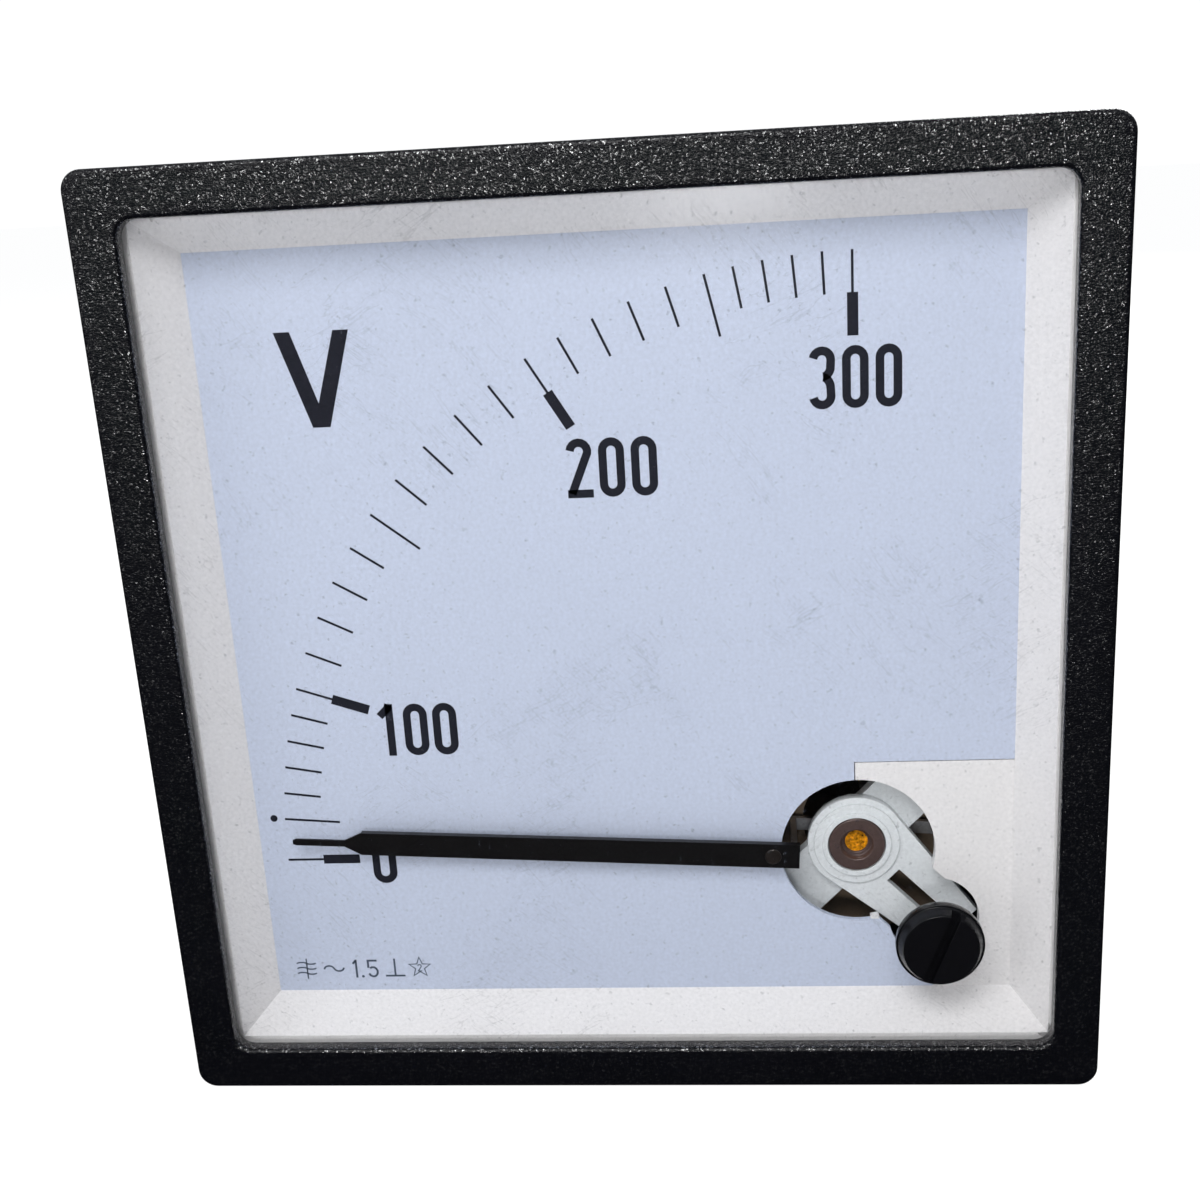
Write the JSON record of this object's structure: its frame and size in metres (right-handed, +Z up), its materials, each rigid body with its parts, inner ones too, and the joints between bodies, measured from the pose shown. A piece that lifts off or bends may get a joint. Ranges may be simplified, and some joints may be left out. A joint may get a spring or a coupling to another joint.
{
  "type": "analog panel meter",
  "caption": "Square panel-mounting AC voltmeter with a quarter-circle scale, corner pointer, zero adjuster, side clamps and rear studs.",
  "frame": {"origin": "centre of the panel cut-out on the rear face of the front frame, which seats on the panel", "axes": "+X to the right seen from the front, +Y into the panel towards the terminals, +Z up"},
  "size_m": [0.1024, 0.0691, 0.096],
  "materials": {
    "black_frame": "fine spark-eroded texture",
    "clear_pane": "clear, faint dust and scratches",
    "cream_plastic": "smooth satin",
    "dial_white": "matt white print ground",
    "black_pointer": "satin black",
    "bright_metal": "nickel plated",
    "aluminium": "rolled",
    "brass": "turned",
    "steel": "zinc plated",
    "soft_iron": "annealed",
    "spring_bronze": "rolled strip",
    "black_gloss": "polished",
    "white_plastic": "moulded",
    "brown_screw": "dark brown",
    "amber_jewel": "polished",
    "tan_plastic": "moulded",
    "copper": "enamelled copper wire",
    "tinned_tag": "tinned",
    "housing_black": "moulded",
    "resistor_green": "enamelled",
    "wire_red": "insulation",
    "wire_black": "insulation"
  },
  "bodies": {
    "meter": {"bezel_frame": "black_frame", "window_pane": "clear_pane", "dial_surround": "cream_plastic", "dial_plate": "dial_white", "front_bearing_screw": "brown_screw", "front_jewel": "amber_jewel", "bearing_bridge": "white_plastic", "bridge_screws": "bright_metal", "coil_bobbin": "tan_plastic", "coil_winding": "copper", "coil_tags": "tinned_tag", "fixed_iron": "soft_iron", "rear_bearing_screw": "brass", "rear_jewel": "amber_jewel", "mounting_plate": "steel", "plate_screws": "bright_metal", "housing": "housing_black", "series_resistor": "resistor_green", "wire_stud_resistor": "wire_red", "wire_resistor_coil": "wire_red", "wire_coil_stud": "wire_black", "terminal_studs": "brass", "stud_lock_nuts": "brass", "terminal_washers": "bright_metal", "terminal_nuts": "brass", "clamp_bracket_left": "steel", "clamp_bracket_right": "steel"},
    "moving_system": {"pointer": "black_pointer", "pointer_rivet": "bright_metal", "pointer_carrier": "aluminium", "balance_weight": "brass", "spindle": "steel", "moving_iron": "soft_iron"},
    "zero_adjuster": {"zero_adjuster": "black_gloss"},
    "zero_lever": {"zero_lever": "white_plastic", "hairspring": "spring_bronze"},
    "clamp_screw_left": {"clamp_screw_left": "bright_metal"},
    "clamp_screw_right": {"clamp_screw_right": "bright_metal"}
  },
  "joints": [
    {"name": "pointer_deflection", "type": "hinge", "parent": "meter", "child": "moving_system", "pos_m": [0.024, 0, -0.024], "axis": [0, 1, 0], "range_deg": [-5, 90.5], "stiffness_Nm_per_rad": 0.00006},
    {"name": "adjuster_turn", "type": "hinge", "parent": "meter", "child": "zero_adjuster", "pos_m": [0.0319, 0, -0.0319], "axis": [0, 1, 0], "range_deg": [-45, 45]},
    {"name": "zero_lever_turn", "type": "hinge", "parent": "meter", "child": "zero_lever", "pos_m": [0.024, 0, -0.024], "axis": [0, 1, 0], "range_deg": [-4.2, 4.2]},
    {"name": "clamp_slide_left", "type": "slide", "parent": "meter", "child": "clamp_screw_left", "axis": [0, -1, 0], "range_m": [-0.002, 0.0083]},
    {"name": "clamp_slide_right", "type": "slide", "parent": "meter", "child": "clamp_screw_right", "axis": [0, -1, 0], "range_m": [-0.002, 0.0083]}
  ],
  "couplings": [
    {"joint": "zero_lever_turn", "follows": "adjuster_turn", "ratio": 0.0897}
  ]
}
